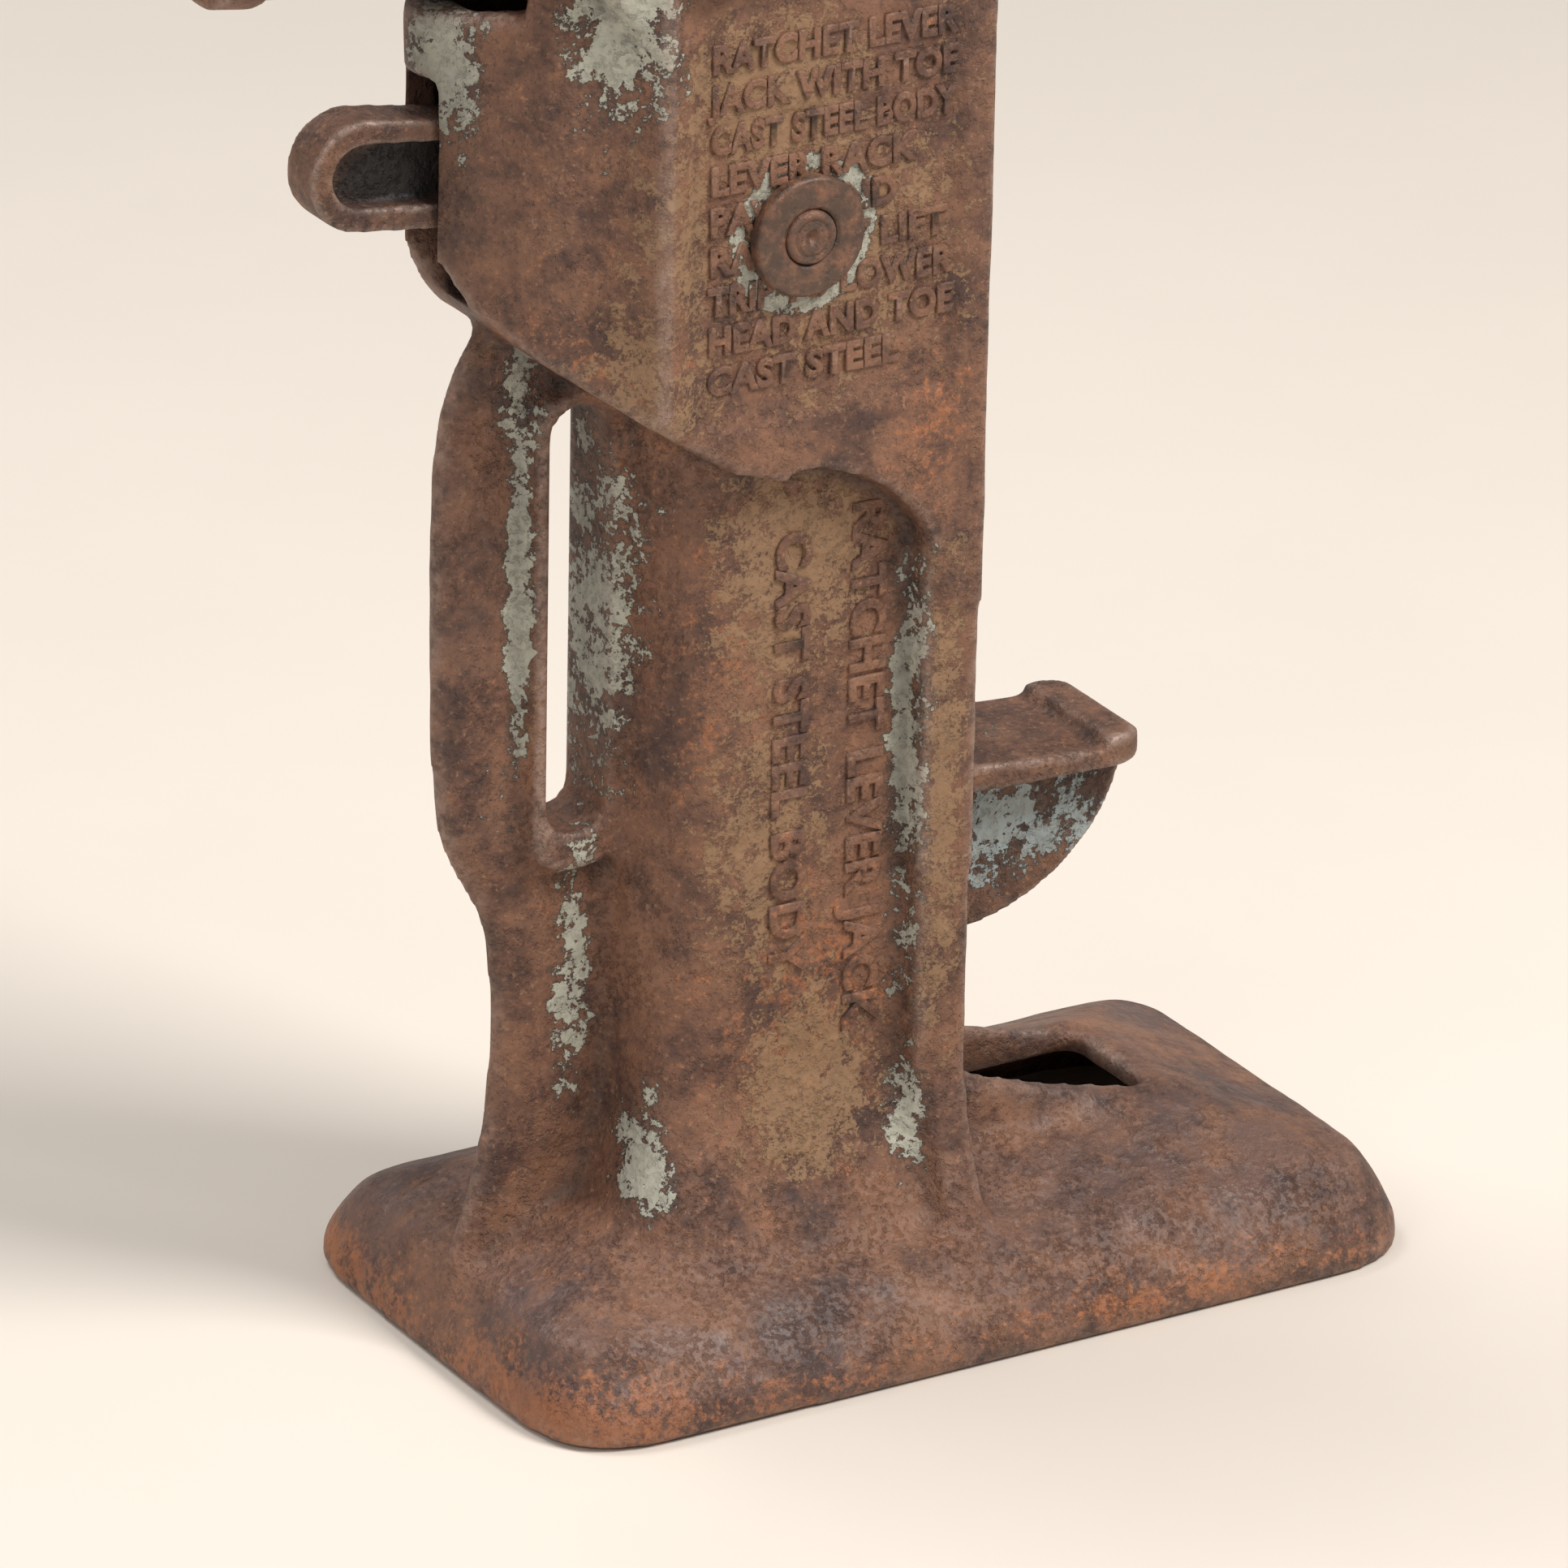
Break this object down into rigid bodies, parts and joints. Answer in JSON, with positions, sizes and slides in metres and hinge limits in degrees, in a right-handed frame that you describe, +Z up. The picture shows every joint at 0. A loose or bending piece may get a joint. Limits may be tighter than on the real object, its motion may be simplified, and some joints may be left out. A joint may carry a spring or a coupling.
{
  "type": "ratchet lever jack",
  "caption": "Heavy cast-iron ratchet lever jack: toothed rack with toe lift and head cap in a slotted column, wide hipped foot, loop handle, lever socket and trip lever.",
  "frame": {"origin": "on the ground, under the middle of the whole jack's box", "axes": "+Z up along the rack, +X towards the lifting toe, -X towards the lever socket and handle, +Y across"},
  "size_m": [0.397, 0.183, 0.6744],
  "materials": {
    "rusted_casting": "rusted, with remains of pale grey-green paint",
    "worn_casting": "dark brown rust, worn smooth on the edges",
    "dark_steel": "rusted, peened ends",
    "greased_steel": "oily dark steel"
  },
  "bodies": {
    "housing": {"housing": "rusted_casting", "fulcrum_pin": "dark_steel", "fulcrum_collar_near": "dark_steel", "fulcrum_collar_far": "dark_steel", "pawl_pin": "dark_steel", "pawl_collar_near": "dark_steel", "pawl_collar_far": "dark_steel", "holding_pawl_spring": "greased_steel", "trip_pin": "dark_steel", "trip_spring": "greased_steel", "rack_stop_screw": "dark_steel"},
    "rack": {"rack_bar": "worn_casting", "head_cap": "worn_casting", "head_cap_pin": "dark_steel"},
    "lever": {"lever_socket": "worn_casting", "lever_bar_screw": "dark_steel"},
    "lift_pin": {"lift_pawl_pin": "dark_steel"},
    "lift_pawl": {"lift_pawl": "greased_steel"},
    "holding_pawl": {"holding_pawl": "greased_steel"},
    "trip_lever": {"trip_lever": "worn_casting"}
  },
  "joints": [
    {"name": "rack_slide", "type": "slide", "parent": "housing", "child": "rack", "axis": [0, 0, 1], "range_m": [-0.0762, 0.2286]},
    {"name": "lever_swing", "type": "hinge", "parent": "housing", "child": "lever", "pos_m": [-0.05, 0, 0.47], "axis": [0, 1, 0], "range_deg": [0, 40]},
    {"name": "lift_pin_turn", "type": "hinge", "parent": "lever", "child": "lift_pin", "pos_m": [-0.018, 0, 0.47], "axis": [0, 1, 0], "range_deg": [-40, 0]},
    {"name": "lift_pawl_turn", "type": "hinge", "parent": "lift_pin", "child": "lift_pawl", "pos_m": [-0.018, 0, 0.47], "axis": [0, 1, 0], "range_deg": [0, 16]},
    {"name": "holding_pawl_turn", "type": "hinge", "parent": "housing", "child": "holding_pawl", "pos_m": [-0.018, 0, 0.371], "axis": [0, 1, 0], "range_deg": [0, 16]},
    {"name": "trip_turn", "type": "hinge", "parent": "housing", "child": "trip_lever", "pos_m": [-0.07, 0, 0.385], "axis": [0, 1, 0], "range_deg": [-12, 0], "stiffness_Nm_per_rad": 8, "springref_deg": 20.05}
  ],
  "couplings": [
    {"joint": "lift_pin_turn", "follows": "lever_swing", "ratio": -1},
    {"joint": "lift_pawl_turn", "follows": "trip_turn", "ratio": -1.3333},
    {"joint": "holding_pawl_turn", "follows": "trip_turn", "ratio": -1.3333}
  ]
}
